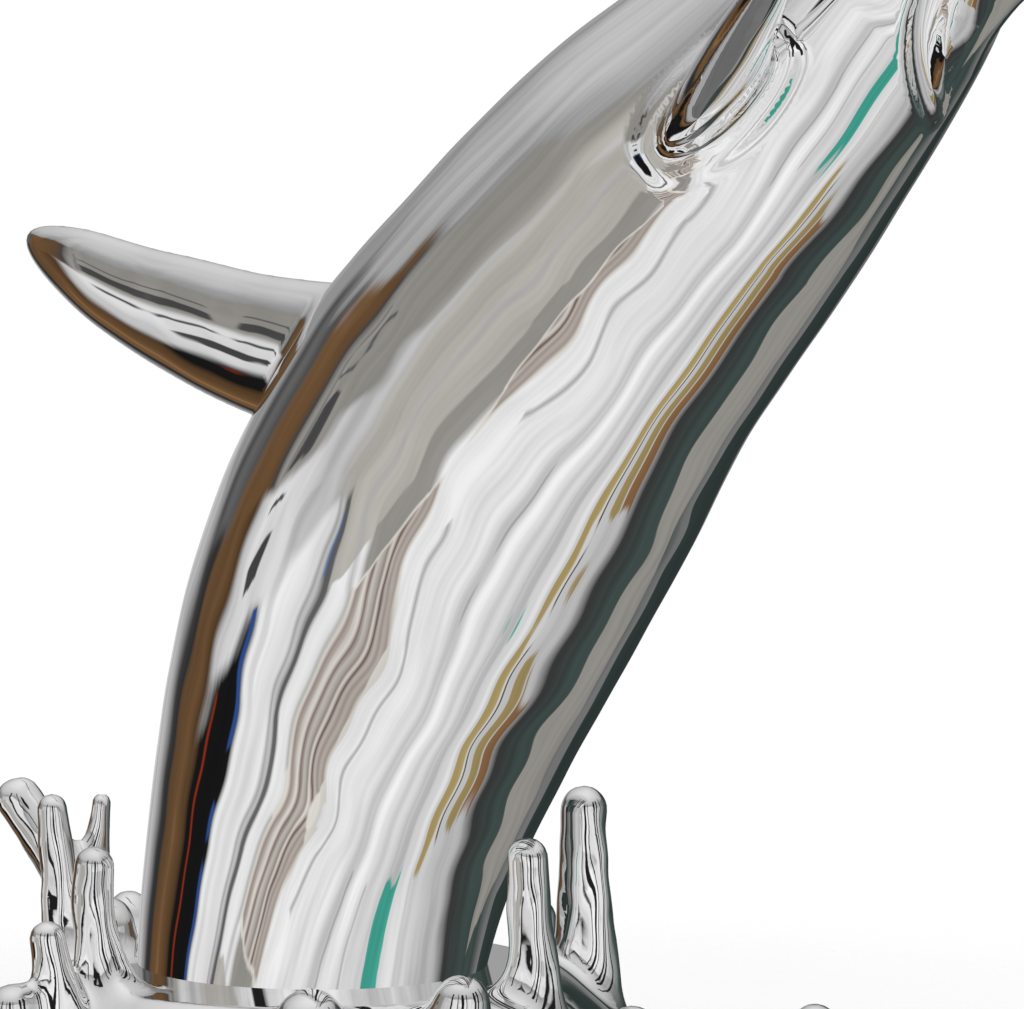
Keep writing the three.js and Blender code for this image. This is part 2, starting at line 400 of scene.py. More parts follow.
FLIPPER_LENGTH = 0.540
FLIPPER_HALF_CHORD = 0.092
FLIPPER_HALF_THICKNESS = 0.040
FLIPPER_TAPER = 0.5
FLIPPER_ROOT_DEPTH = 0.4
FLIPPER_BEND = 0.15
FLIPPER_FLARE = 0.2
FLIPPER_FILLET = 0.024
BEAD_OFF = 0.018
BEAD_HALF = 0.005
BEAD_FILLET = 0.018
MIDDLE_PLANE = 0.0
FLIPPERS = [
    dict(station=1.70, angle=19, turn=-1, forward=0.95, outward=0.25, raised=0.00, twist=0),
    dict(station=1.93, angle=78, turn=1, forward=1.00, outward=-0.25, raised=0.12, twist=-50),
]

POOL_LEVEL = 0.175
FOOT_SUNK = 0.012
FOOT_CALM = 0.20


def flipper_shape(station, angle, turn, forward, outward, raised, twist):
    """Curve and chord direction of a flipper that leaves the body at an angle from the flank to the belly."""
    point, ahead, belly = spine(station)
    out = FLANK * math.cos(math.radians(angle)) + belly * math.sin(math.radians(angle))
    up = -turn * np.cross(out, ahead)
    held = forward * ahead + outward * out + raised * up
    half = float(girth(station))
    root = point + FLIPPER_ROOT_DEPTH * half * out
    bend = point + half * out + FLIPPER_BEND * FLIPPER_LENGTH * held
    flared = held + FLIPPER_FLARE * (out - held)
    tip = bend + (1 - FLIPPER_BEND) * FLIPPER_LENGTH * flared
    across = math.cos(math.radians(twist)) * ahead + math.sin(math.radians(twist)) * up
    return np.array([root, bend, tip]), across


flipper_shapes = [flipper_shape(**held) for held in FLIPPERS]
fin_across = np.cross(FIN[1] - FIN[2], FLANK)

MOUTH_FRONT = 2.295
MOUTH_BACK = 2.060
MOUTH_TURN = math.radians(76)
MOUTH_CURVE = 1.4
MOUTH_SPOTS = 241
MOUTH_HALF = 0.012
MOUTH_OFF = 0.007
MOUTH_ROUNDING = 0.006
MOUTH_REACH = 0.03
EYE_STATION = 1.985
EYE_TURN = math.radians(74)
EYE_HALF = 0.015
EYE_FILLET = 0.012
EYE_REACH = 0.05


def on_skin(s, turn, off=0.0):
    """Point on or just off the body at a distance s along the spine, turned from the belly to a flank."""
    point, _, belly = spine(s)
    half = float(girth(s)) + off
    return point + half * (math.cos(turn) * belly + BODY_BREADTH * math.sin(turn) * FLANK)


mouth_spots = np.array([
    on_skin(MOUTH_FRONT + (MOUTH_BACK - MOUTH_FRONT) * abs(v) ** MOUTH_CURVE, v * MOUTH_TURN, MOUTH_OFF)
    for v in np.linspace(-1, 1, MOUTH_SPOTS)
])
eye_spots = np.array([on_skin(EYE_STATION, side * EYE_TURN) for side in (-1, 1)])


def nearest_spot(at, spots, reach):
    """Distance to the nearest of some spots, for places within reach of their box."""
    distance = np.full(len(at), FAR)
    near = np.all((at > spots.min(0) - reach) & (at < spots.max(0) + reach), axis=1)
    gaps = np.linalg.norm(at[near][:, None, :] - spots, axis=2) if near.any() else np.zeros((0, 1))
    distance[near] = gaps.min(axis=1)
    return distance


CREASE = np.array([(1.299, -0.081, 1.474), (1.237, -0.080, 1.404), (1.198, 0.030, 1.318)])
CREASE_HALF = 0.026
CREASE_NARROWING = 0.45
CREASE_ROUNDING = 0.012
CREASE_REACH = 0.05


def crease_field(at):
    """The crease between chest and far flipper: a groove along a curve, narrower towards its lower end."""
    field = np.full(len(at), -FAR)
    near = within_reach(CREASE, at, CREASE_REACH)
    share = nearest_share(CREASE, at[near])
    away = np.linalg.norm(at[near] - curve_point(CREASE, share), axis=1)
    field[near] = CREASE_HALF * (1 - CREASE_NARROWING * share) - away
    return field


def whale_field(at):
    """Body, fin, flippers, bead and crease in one, cut level just below the top of the pool."""
    body = body_field(at)
    fin = blade_field(at, FIN, fin_across, FIN_HALF_CHORD, FIN_HALF_THICKNESS, FIN_TAPER, FIN_TAPER / 2)
    field = smooth_least(body, fin, FIN_FILLET)
    for curve, across in flipper_shapes:
        flipper = blade_field(
            at, curve, across, FLIPPER_HALF_CHORD, FLIPPER_HALF_THICKNESS, FLIPPER_TAPER, FLIPPER_TAPER
        )
        field = smooth_least(field, flipper, FLIPPER_FILLET)
        bead = np.hypot(body, flipper - BEAD_OFF) - BEAD_HALF
        bead = np.where(at[:, 1] < MIDDLE_PLANE, bead, FAR)
        field = smooth_least(field, bead, BEAD_FILLET)
    field = smooth_most(field, crease_field(at), CREASE_ROUNDING)
    return np.maximum(field, POOL_LEVEL - FOOT_SUNK - at[:, 2])


HAMMER_WAVES = dict(seed=3, waves=16, length=0.30, height=0.0008)
HAMMER_RIPPLES = dict(seed=4, waves=16, length=0.11, height=0.00018)


def whale_finish(at):
    """The whale with its mouth line, its eyes and the long waves that hammering leaves."""
    field = whale_field(at)
    loose = np.clip((at[:, 2] - POOL_LEVEL) / FOOT_CALM, 0, 1)
    field = field - loose * (ripples(at, **HAMMER_WAVES) + ripples(at, **HAMMER_RIPPLES))
    field = smooth_most(field, MOUTH_HALF - nearest_spot(at, mouth_spots, MOUTH_REACH), MOUTH_ROUNDING)
    field = smooth_least(field, nearest_spot(at, eye_spots, EYE_REACH) - EYE_HALF, EYE_FILLET)
    return np.maximum(field, POOL_LEVEL - FOOT_SUNK - at[:, 2])


WHALE_BOX = ((-0.72, -0.56, 0.15), (1.60, 0.56, 1.90))
WHALE_CUBE = 0.0078
whale = skin_of("whale_skin", whale_field, whale_finish, *WHALE_BOX, WHALE_CUBE)
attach(whale, "root")
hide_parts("whale")

# %% [markdown]
# ## The splash base
#
# The base is a mound of water that falls from a level pool round the whale's foot to a lobed rim on the
# floor. A crown of fingers stands up out of it. On the real piece each finger is a bent bar with a round end,
# welded on and filled at its foot, so neighbours run into each other in webs. The same smooth minimum makes
# those webs here.

# %% Mound and fingers of the splash base
POOL = dict(x=0.060, y=-0.040, half_length=0.350, half_width=0.340)
RIM = dict(x=0.190, y=0.0, half_length=0.690, half_width=0.560)
RIM_LOBES = 9
RIM_LOBE_DEPTH = 0.035
RIM_HEIGHT = 0.024
MOUND_FALL = 0.36
MOUND_CURVE = 1.6
MOUND_SEARCH = (-0.6, 1.6)
MOUND_HALVINGS = 18
MOUND_STEEPNESS = 0.75
RIM_STEEPNESS = 0.32
RIM_ROUNDING = 0.02

FINGER_FOOT = 0.014
FINGER_REACH = 0.2
FINGER_SPREAD = 0.7
FINGER_SPREAD_CURVE = 4
FINGER_TAPER = 0.18
FINGER_BEND = 0.35
FINGER_WEB = 0.05
FINGER_CLEARANCE = 0.002
FINGER_FLATNESS = 0.13
FINGER_RIDGES = 5
FINGER_RIDGE_HEIGHT = 0.035
FINGER_TWIST = 3.0
FINGER_TWIST_BY_SIZE = 100
UNEVEN_PEAK = 16
SEAT_STEP = 0.006
SEAT_REACH = 0.03
SEAT_CLOSE = 0.1
FINGERS = [
    dict(at=55, reach=0.419, height=0.419, half=0.042, out=-0.006, aside=0.000),
    dict(at=7, reach=0.452, height=0.387, half=0.034, out=-0.010, aside=-0.012),
    dict(at=-14, reach=0.486, height=0.219, half=0.046, out=0.000, aside=0.016),
    dict(at=-38, reach=0.481, height=0.211, half=0.055, out=0.000, aside=0.007),
    dict(at=-74, reach=0.360, height=0.372, half=0.034, out=0.012, aside=-0.080, bend=1.2),
    dict(at=-83, reach=0.437, height=0.277, half=0.028, out=0.029, aside=-0.034),
    dict(at=-87, reach=0.508, height=0.196, half=0.036, out=0.011, aside=-0.011),
    dict(at=-124, reach=0.330, height=0.416, half=0.028, out=0.028, aside=-0.030),
    dict(at=-135, reach=0.285, height=0.262, half=0.051, out=0.000, aside=0.000),
    dict(at=-146, reach=0.287, height=0.416, half=0.038, out=0.178, aside=-0.023, bend=0.05),
    dict(at=-151, reach=0.337, height=0.400, half=0.018, out=-0.010, aside=-0.022),
    dict(at=-168, reach=0.335, height=0.245, half=0.039, out=0.000, aside=0.000),
    dict(at=162, reach=0.400, height=0.400, half=0.039, out=0.075, aside=-0.015),
    dict(at=136, reach=0.385, height=0.300, half=0.036, out=0.060, aside=0.025),
    dict(at=108, reach=0.380, height=0.390, half=0.041, out=0.050, aside=-0.025),
    dict(at=82, reach=0.400, height=0.230, half=0.041, out=0.020, aside=0.010),
    dict(at=25, reach=0.767, height=0.160, half=0.041, out=0.019, aside=0.008),
    dict(at=5, reach=0.627, height=0.179, half=0.040, out=0.010, aside=0.006),
]


def finger_curve(at, reach, height, half, out, aside, bend=FINGER_BEND):
    """Root, bend and middle of the round tip of a finger."""
    radial = np.array([math.cos(math.radians(at)), math.sin(math.radians(at)), 0])
    sideways = np.array([-radial[1], radial[0], 0])
    root = reach * radial + np.array([0, 0, FINGER_FOOT])
    tip = reach * radial + out * radial + aside * sideways + np.array([0, 0, height])
    middle = root + bend * (tip - root)
    middle[2] = (FINGER_FOOT + height) / 2
    end = (tip - middle) / np.linalg.norm(tip - middle)
    return np.array([root, middle, tip - half * (1 - FINGER_TAPER) * end])


finger_curves = [(finger_curve(**finger), finger["half"]) for finger in FINGERS]


def finger_field(at, curve, half):
    """A bar with a round end along a curve, thicker at its root, flattened and ridged along its middle."""
    field = np.full(len(at), FAR)
    near = within_reach(curve, at, FINGER_REACH)
    share = nearest_share(curve, at[near])
    away = at[near] - curve_point(curve, share)
    turn = np.arctan2(away[:, 1], away[:, 0])
    twist = FINGER_TWIST * share + FINGER_TWIST_BY_SIZE * half
    flat = FINGER_FLATNESS * np.cos(2 * turn + twist)
    ridges = FINGER_RIDGE_HEIGHT * np.cos(FINGER_RIDGES * turn - 2 * twist)
    uneven = (flat + ridges) * UNEVEN_PEAK * share**2 * (1 - share) ** 2
    spread = FINGER_SPREAD * (1 - share) ** FINGER_SPREAD_CURVE - FINGER_TAPER * share
    thickness = half * (1 + spread + uneven)
    field[near] = np.linalg.norm(away, axis=1) - thickness
    return field


def mound_field(at):
    """Height above a mound that falls from the pool to the rim, and distance past the rim, the greater.

    The share of the way from pool to rim is found by halving, between ovals that grow from one to the other.
    """
    low = np.full(len(at), MOUND_SEARCH[0])
    high = np.full(len(at), MOUND_SEARCH[1])
    for _ in range(MOUND_HALVINGS):
        share = (low + high) / 2
        x = at[:, 0] - POOL["x"] - share * (RIM["x"] - POOL["x"])
        y = at[:, 1] - POOL["y"] - share * (RIM["y"] - POOL["y"])
        length = POOL["half_length"] + share * (RIM["half_length"] - POOL["half_length"])
        width = POOL["half_width"] + share * (RIM["half_width"] - POOL["half_width"])
        turn = np.arctan2(y / width, x / length)
        lobe = 1 + RIM_LOBE_DEPTH * np.maximum(share, 0) * np.cos(RIM_LOBES * turn)
        outside = (x / length) ** 2 + (y / width) ** 2 > lobe * lobe
        low = np.where(outside, share, low)
        high = np.where(outside, high, share)
    fall = np.exp(-((np.maximum(share, 0) / MOUND_FALL) ** MOUND_CURVE))
    height = RIM_HEIGHT + (POOL_LEVEL - RIM_HEIGHT) * fall
    over = MOUND_STEEPNESS * (at[:, 2] - height)
    past_rim = RIM_STEEPNESS * (share - 1)
    return smooth_most(over, past_rim, RIM_ROUNDING)


def splash_field(at):
    """Mound and fingers in one, clear of the whale, with a level underside."""
    field = mound_field(at)
    for curve, half in finger_curves:
        field = smooth_least(field, finger_field(at, curve, half), FINGER_WEB)
    close = (field < SEAT_CLOSE) & (at[:, 2] > POOL_LEVEL)
    cut = np.full(len(at), -FAR)
    below = 1 - np.clip((at[close, 2] - POOL_LEVEL) / SEAT_STEP, 0, 1)
    cut[close] = FINGER_CLEARANCE - body_field(at[close]) - SEAT_REACH * below
    return np.maximum(np.maximum(field, cut), -at[:, 2])


APRON_FROM = (0.36, 0.50)
APRON_SHARE = 0.3
RAISED_FROM = (0.19, 0.25)
RAISED_SHARE = 0.7
GRIND_WAVES = dict(seed=7, waves=16, length=0.08, height=0.0013)
GRIND_RIPPLES = dict(seed=8, waves=16, length=0.035, height=0.0003)


def risen(value, low, high):
    """0 up to low, 1 from high on, and straight between."""
    return np.clip((value - low) / (high - low), 0, 1)


def splash_finish(at):
    """The splash base with the uneven grinding of its fingers; the pool itself stays smooth."""
    out = np.hypot(at[:, 0] - POOL["x"], at[:, 1] - POOL["y"])
    loose = APRON_SHARE * risen(out, *APRON_FROM) + RAISED_SHARE * risen(at[:, 2], *RAISED_FROM)
    field = splash_field(at) - loose * (ripples(at, **GRIND_WAVES) + ripples(at, **GRIND_RIPPLES))
    return np.maximum(field, -at[:, 2])


SPLASH_BOX = ((-0.56, -0.64, -0.03), (0.98, 0.64, 0.46))
SPLASH_CUBE = 0.0085
splash = skin_of("splash_skin", splash_field, splash_finish, *SPLASH_BOX, SPLASH_CUBE)
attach(splash, "root")
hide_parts("splash_base")
# The real piece mirrors its surroundings right down to the pool, so mirror rays pass the base by
splash.visible_glossy = False

# %% [markdown]
# ## Shader maths
#
# A small class wraps a socket of a node tree, so that sums and products of masks read like plain maths.

# %% A socket that does maths


class Value:
    """A socket of a node tree; maths on it adds the nodes for it."""

    def __init__(self, tree, socket):
        self.tree = tree
        self.socket = socket

    @staticmethod
    def make(tree, kind, settings=None, inputs=None, output=0):
        """Adds a node of a type, sets its settings, then fills its sockets with values or links."""
        node = tree.nodes.new(kind)
        for key, setting in (settings or {}).items():
            if key == "stops":
                ramp = node.color_ramp
                ramp.elements.remove(ramp.elements[0])
                ramp.elements[0].position = setting[0][0]
                ramp.elements[0].color = (*setting[0][1], 1)
                for position, colour in setting[1:]:
                    ramp.elements.new(position).color = (*colour, 1)
            else:
                setattr(node, key, setting)
        for key, given in (inputs or {}).items():
            if isinstance(given, Value):
                tree.links.new(given.socket, node.inputs[key])
            else:
                node.inputs[key].default_value = given
        return Value(tree, node.outputs[output])

    def maths(self, operation, *others):
        given = {i: value for i, value in enumerate(others)}
        return Value.make(self.tree, "ShaderNodeMath", {"operation": operation}, given)

    def __add__(self, other):
        return self.maths("ADD", self, other)

    def __radd__(self, other):
        return self.maths("ADD", other, self)

    def __sub__(self, other):
        return self.maths("SUBTRACT", self, other)

    def __rsub__(self, other):
        return self.maths("SUBTRACT", other, self)

    def __mul__(self, other):
        return self.maths("MULTIPLY", self, other)

    def __rmul__(self, other):
        return self.maths("MULTIPLY", other, self)

    def rise(self, low, high):
        """0 below low, 1 above high, with a soft step between; low may be the greater for a fall."""
        settings = {"interpolation_type": "SMOOTHSTEP"}
        inputs = {0: self, 1: low, 2: high, 3: 0.0, 4: 1.0}
        return Value.make(self.tree, "ShaderNodeMapRange", settings, inputs)


def mixed(share, first, second):
    """Colour that goes from the first to the second with the share."""
    settings = {"data_type": "RGBA"}
    return Value.make(share.tree, "ShaderNodeMix", settings, {0: share, 6: first, 7: second}, output=2)


def grain(tree, place, scale, detail, rough=0.5):
    """Even cloudy grain between 0 and 1, read in the object's own metres."""
    inputs = {"Vector": place, "Scale": scale, "Detail": detail, "Roughness": rough}
    return Value.make(tree, "ShaderNodeTexNoise", {}, inputs)


# %% [markdown]
# ## Mirror-polished steel
#
# The finish is bare steel taken to a mirror. It isn't perfect: buffing leaves faint haze in patches, and
# fingers and dust dull it here and there, so the roughness drifts a little. The splash base is harder to
# reach with a wheel, so it stays a touch duller and its haze is darker.

# %% Materials
HAZE_FROM = (0.42, 0.72)
HAZE_DETAIL = 4.0
HAZE_DULLING = 0.8
HAZE_TONE = 0.6
SPECK_SCALE = 160.0
SPECK_FROM = (0.66, 0.78)
SPECK_DETAIL = 2.0
SPECK_DULLING = 0.2
SPECK_TONE = 0.25


def polished(name, colour, dull_colour, clear, hazy, haze_scale):
    """Steel whose roughness and tone drift between a clear polish and a slight haze."""
    material = bpy.data.materials.new(name)
    material.use_nodes = True
    tree = material.node_tree
    shader = tree.nodes["Principled BSDF"]
    place = Value.make(tree, "ShaderNodeTexCoord", output="Object")
    haze = grain(tree, place, haze_scale, HAZE_DETAIL).rise(*HAZE_FROM)
    specks = grain(tree, place, SPECK_SCALE, SPECK_DETAIL).rise(*SPECK_FROM)
    dull = haze * HAZE_DULLING + specks * SPECK_DULLING
    tone = mixed(haze * HAZE_TONE + specks * SPECK_TONE, (*colour, 1), (*dull_colour, 1))
    roughness = clear + dull * (hazy - clear)
    tree.links.new(tone.socket, shader.inputs["Base Color"])
    tree.links.new(roughness.socket, shader.inputs["Roughness"])
    shader.inputs["Metallic"].default_value = 1.0
    return material


whale_steel = polished(
    "whale_steel", colour=(0.93, 0.93, 0.935), dull_colour=(0.86, 0.86, 0.87),
    clear=0.010, hazy=0.035, haze_scale=5.0
)
splash_steel = polished(
    "splash_steel", colour=(0.90, 0.90, 0.905), dull_colour=(0.76, 0.76, 0.77),
    clear=0.015, hazy=0.07, haze_scale=9.0
)
whale.data.materials.append(whale_steel)
splash.data.materials.append(splash_steel)
print("materials", whale_steel.name, splash_steel.name)

# %% [markdown]
# ## Floor and camera
#
# A pale round floor catches the shadow of the sculpture. It fades out towards its edge, so that no horizon
# shows. Mirror rays pass it by, because a plain floor would fill the underside of the body with one grey.
# The camera looks almost level through a long lens, from between the belly and the near flank.

# %% Floor
FLOOR_RADIUS = 1.9
FLOOR_SOLID = 0.8
FLOOR_X = 0.2
FLOOR_SIDES = 128
FLOOR_COLOUR = (0.90, 0.90, 0.90, 1)
FLOOR_ROUGHNESS = 0.8

turns = np.linspace(0, 2 * np.pi, FLOOR_SIDES, endpoint=False)
floor_x = FLOOR_X + FLOOR_RADIUS * np.cos(turns)
floor_y = FLOOR_RADIUS * np.sin(turns)
floor_ring = np.stack([floor_x, floor_y, 0 * turns], axis=1)
floor_mesh = bpy.data.meshes.new("floor")
floor_mesh.from_pydata(floor_ring.tolist(), [], [list(range(FLOOR_SIDES))])
floor = bpy.data.objects.new("floor", floor_mesh)
bpy.context.scene.collection.objects.link(floor)
floor.visible_glossy = False
floor_paint = bpy.data.materials.new("floor_paint")
floor_paint.use_nodes = True
floor_tree = floor_paint.node_tree
floor_shader = floor_tree.nodes["Principled BSDF"]
floor_shader.inputs["Base Color"].default_value = FLOOR_COLOUR
floor_shader.inputs["Roughness"].default_value = FLOOR_ROUGHNESS
floor_place = Value.make(floor_tree, "ShaderNodeTexCoord", output="Object")
floor_ends = {0: floor_place, 1: (FLOOR_X, 0, 0)}
floor_out = Value.make(floor_tree, "ShaderNodeVectorMath", {"operation": "DISTANCE"}, floor_ends, "Value")
floor_fade = floor_out.rise(FLOOR_RADIUS, FLOOR_SOLID)
floor_tree.links.new(floor_fade.socket, floor_shader.inputs["Alpha"])
floor_mesh.materials.append(floor_paint)
print("floor radius", FLOOR_RADIUS)

# %% Camera
VIEW_AZIMUTH = math.radians(48)
VIEW_ELEVATION = math.radians(2)
VIEW_DISTANCE = 5.0
VIEW_TARGET = (0.4572, 0.0, 0.8443)
VIEW_LENS = 130.2
SENSOR_WIDTH = 36.0
VIEW_FAR_END = 200.0

towards_view = (
    math.sin(VIEW_AZIMUTH) * math.cos(VIEW_ELEVATION),
    -math.cos(VIEW_AZIMUTH) * math.cos(VIEW_ELEVATION),
    math.sin(VIEW_ELEVATION),
)
camera_data = bpy.data.cameras.new("camera")
camera_data.lens = VIEW_LENS
camera_data.sensor_width = SENSOR_WIDTH
camera_data.sensor_fit = "HORIZONTAL"
camera_data.clip_end = VIEW_FAR_END
camera = bpy.data.objects.new("camera", camera_data)
camera.location = [t + VIEW_DISTANCE * d for t, d in zip(VIEW_TARGET, towards_view)]
camera.rotation_euler = (math.pi / 2 - VIEW_ELEVATION, 0, VIEW_AZIMUTH)
bpy.context.scene.collection.objects.link(camera)
bpy.context.scene.camera = camera
print("camera at", [round(c, 3) for c in camera.location])

# %% [markdown]
# ## What the mirror shows
#
# A mirror shows nothing but what stands round it, so the surroundings are half of the finish. They are
# painted on the sky by direction alone: how far round, and how far up. Three belts of soft panels, low, level
# and high, change colour going round, and a plain sky closes them overhead. Cards are smaller patches set
# before the panels, and rows of narrow cards make posts, ribbons and thin lines. A slow wander and fine
# upright streaks in the placing keep the edges from being straight. The camera itself sees plain white.

# %% Directions
world = bpy.data.worlds.new("surroundings")
bpy.context.scene.world = world
world.use_nodes = True
sky_tree = world.node_tree
direction = Value.make(sky_tree, "ShaderNodeTexCoord", output="Generated")
apart = Value.make(sky_tree, "ShaderNodeSeparateXYZ", inputs={0: direction})
east, north, up = (Value(sky_tree, output) for output in apart.socket.node.outputs)
near_view = east * math.sin(VIEW_AZIMUTH) - north * math.cos(VIEW_AZIMUTH)
right_of_view = east * math.cos(VIEW_AZIMUTH) + north * math.sin(VIEW_AZIMUTH)
# 0 straight behind the sculpture, 0.25 to the left, 0.5 in front and 0.75 to the right
round_about = near_view.maths("ARCTAN2", right_of_view, near_view) * (0.5 / math.pi) + 0.5
print("directions are counted from behind the sculpture, round by the left")

# %% Panels: the place where each colour is reached, going round, and the colour
GREY = (1.0, 1.0, 1.0)


def shade(level, tint=GREY):
    """A colour of one brightness with a slight tint."""
    return tuple(level * part for part in tint)


BEIGE = (1.04, 1.0, 0.92)
BROWN = (1.0, 0.54, 0.24)
LEAF = (0.70, 1.0, 0.92)
GOLD = (1.0, 0.76, 0.32)
RUST = (1.0, 0.50, 0.36)
SEA = (0.06, 0.38, 0.30)
INK_BLUE = (0.03, 0.08, 0.28)
BLUE = (0.03, 0.18, 0.52)
RED = (0.28, 0.03, 0.01)
SLATE = (0.10, 0.11, 0.14)
HIGH_PANELS = [
    (0.00, shade(0.40)), (0.05, shade(0.33)), (0.09, shade(0.28)), (0.105, shade(0.08)), (0.12, shade(0.13)),
    (0.14, shade(0.09)), (0.152, shade(0.17, BROWN)), (0.185, shade(0.14, BROWN)), (0.195, shade(0.05)),
    (0.205, shade(0.30, BEIGE)), (0.27, shade(0.30, BEIGE)), (0.285, shade(0.48, BEIGE)), (0.30, shade(0.60)),
    (0.40, shade(0.80)), (0.60, shade(0.85)), (0.80, shade(0.25)), (0.90, shade(0.05, LEAF)),
    (0.96, shade(0.04, LEAF)), (1.00, shade(0.35)),
]
LEVEL_PANELS = [
    (0.00, shade(0.60)), (0.07, shade(0.50)), (0.10, shade(0.25)), (0.115, shade(0.05)), (0.13, shade(0.03)),
    (0.14, shade(0.13, BROWN)), (0.165, shade(0.16, BROWN)), (0.18, shade(0.08, BROWN)), (0.19, shade(0.55)),
    (0.21, shade(0.72)), (0.245, shade(0.72)), (0.255, shade(0.50)), (0.275, shade(0.52)),
    (0.285, shade(0.46, BEIGE)), (0.33, shade(0.42, BEIGE)), (0.345, shade(0.65)), (0.38, shade(0.75)),
    (0.50, shade(1.0)), (0.70, shade(0.75)), (0.85, shade(0.10, LEAF)), (0.93, shade(0.05, LEAF)),
    (1.00, shade(0.30)),
]
LOW_PANELS = [
    (0.00, shade(0.45)), (0.06, shade(0.40)), (0.105, shade(0.12)), (0.112, shade(0.03)),
    (0.128, shade(0.03)), (0.132, shade(0.14, BROWN)), (0.155, shade(0.17, BROWN)),
    (0.158, shade(0.30, BROWN)), (0.164, shade(0.15, BROWN)), (0.186, shade(0.10, BROWN)),
    (0.190, shade(0.009)), (0.236, shade(0.010)), (0.240, shade(0.82)), (0.288, shade(0.85)),
    (0.291, shade(0.13)), (0.297, shade(0.13)), (0.300, shade(0.86)), (0.322, shade(0.84)),
    (0.328, shade(0.32, BEIGE)), (0.364, shade(0.30, BEIGE)), (0.371, shade(0.88)), (0.45, shade(0.82)),
    (0.47, shade(0.60)), (0.50, shade(0.88)), (0.60, shade(0.55)), (0.64, shade(0.75)), (0.70, shade(0.55)),
    (0.76, shade(0.48)), (0.785, shade(0.04)), (0.83, shade(0.07, LEAF)), (0.875, shade(0.07, LEAF)),
    (0.90, shade(0.17)),
]
SKY = [
    (0.30, shade(0.30)), (0.42, shade(0.42)), (0.50, shade(0.55)), (0.75, shade(0.70)), (1.00, shade(0.88)),
]
print("panels", len(LOW_PANELS), len(LEVEL_PANELS), len(HIGH_PANELS))

# %% Cards: start and end going round, foot, top and colour of each
CARDS = [
    dict(start=0.296, end=0.342, foot=-0.38, top=-0.12, colour=shade(0.46, BEIGE)),
    dict(start=0.228, end=0.237, foot=-0.34, top=-0.16, colour=INK_BLUE),
    dict(start=0.198, end=0.204, foot=-0.28, top=-0.19, colour=RED),
    dict(start=0.290, end=0.294, foot=-0.33, top=-0.22, colour=BLUE),
    dict(start=0.314, end=0.378, foot=-0.80, top=-0.46, colour=shade(0.72, BEIGE)),
    dict(start=0.578, end=0.620, foot=-0.90, top=-0.60, colour=SEA),
    dict(start=0.660, end=0.690, foot=-1.0, top=-0.885, colour=shade(0.42, GOLD)),
    dict(start=0.694, end=0.701, foot=-1.0, top=-0.87, colour=shade(0.05, BROWN)),
    dict(start=0.715, end=0.742, foot=-1.0, top=-0.875, colour=shade(0.34, GOLD)),
    dict(start=0.744, end=0.770, foot=-1.0, top=-0.86, colour=shade(0.22, BROWN)),
    dict(start=0.846, end=0.905, foot=-0.86, top=-0.50, colour=shade(0.27, BEIGE)),
    dict(start=0.905, end=1.010, foot=-0.42, top=-0.12, colour=shade(0.04, LEAF)),
    dict(start=0.205, end=0.209, foot=0.10, top=0.26, colour=SLATE),
]

# Level bars cross the side that the back fin mirrors: foot, top and brightness of each
BARS = ((-0.10, -0.04, 0.06), (0.02, 0.05, 0.09), (0.10, 0.165, 0.07), (0.20, 0.225, 0.12))
BAR_START = 0.207
BAR_END = 0.2235
CARDS += [
    dict(start=BAR_START, end=BAR_END, foot=foot, top=top, colour=shade(level)) for foot, top, level in BARS
]

# Rows of narrow cards: dark posts level with the fingers, rust-red ribbons low down, and thin grey lines
RIBBON = shade(0.13, RUST)
ROWS = [
    dict(count=7, first=0.385, gap=0.062, widths=(0.008, 0.034), foot=-0.34, top=0.60, colour=shade(0.015)),
    dict(count=6, first=0.324, gap=0.0085, widths=(0.003, 0.005), foot=-0.74, top=-0.47, colour=RIBBON),
    dict(count=3, first=0.405, gap=0.060, widths=(0.002, 0.004), foot=-0.86, top=-0.62, colour=shade(0.42)),
    dict(count=3, first=0.256, gap=0.028, widths=(0.002, 0.003), foot=-0.60, top=-0.05, colour=shade(0.42)),
]
print("cards", len(CARDS), "rows of cards", len(ROWS))

# %% Wander and streaks
WANDER_SCALE = 2.5
STREAKS_ROUND = 42.0
STREAKS_UP = 2.0
GRAIN_DETAIL = 3.0
STREAK_ROUGHNESS = 0.55
STREAK_FADE = (0.75, 0.35)
PANEL_WANDER = 0.024
PANEL_STREAKING = 0.010
BELT_WANDER = 0.08
BELT_STREAKING = 0.10

wander = grain(sky_tree, direction, WANDER_SCALE, GRAIN_DETAIL) - 0.5
streak_inputs = {0: round_about * STREAKS_ROUND, 1: up * STREAKS_UP}
streak_place = Value.make(sky_tree, "ShaderNodeCombineXYZ", inputs=streak_inputs)
# The streaks all meet overhead, so they fade on the way up
streaks = (grain(sky_tree, streak_place, 1.0, GRAIN_DETAIL, STREAK_ROUGHNESS) - 0.5) * up.rise(*STREAK_FADE)
panel_place = round_about + wander * PANEL_WANDER + streaks * PANEL_STREAKING
belt = up + wander * BELT_WANDER + streaks * BELT_STREAKING

# %% Panels and cards set before each other
CARD_EDGE = 0.003
CARD_RIM = 0.012
CARD_SHIFT = 0.3
LOW_TO_LEVEL = (-0.20, -0.14)
LEVEL_TO_HIGH = (0.06, 0.10)
HIGH_TO_SKY = (0.31, 0.36)
GLOW_FROM = (-0.2, 0.2)
GLOW_LEAST = 0.82
GLOW_SPREAD = 0.30


def panels(stops, place=panel_place):
    """Colour of one belt of panels."""
    return Value.make(sky_tree, "ShaderNodeValToRGB", {"stops": stops}, {0: place})


def between(place, low, high, edge):
    """1 from low to high, with soft edges, and 0 elsewhere."""
    return place.rise(low, low + edge) * place.rise(high, high - edge)


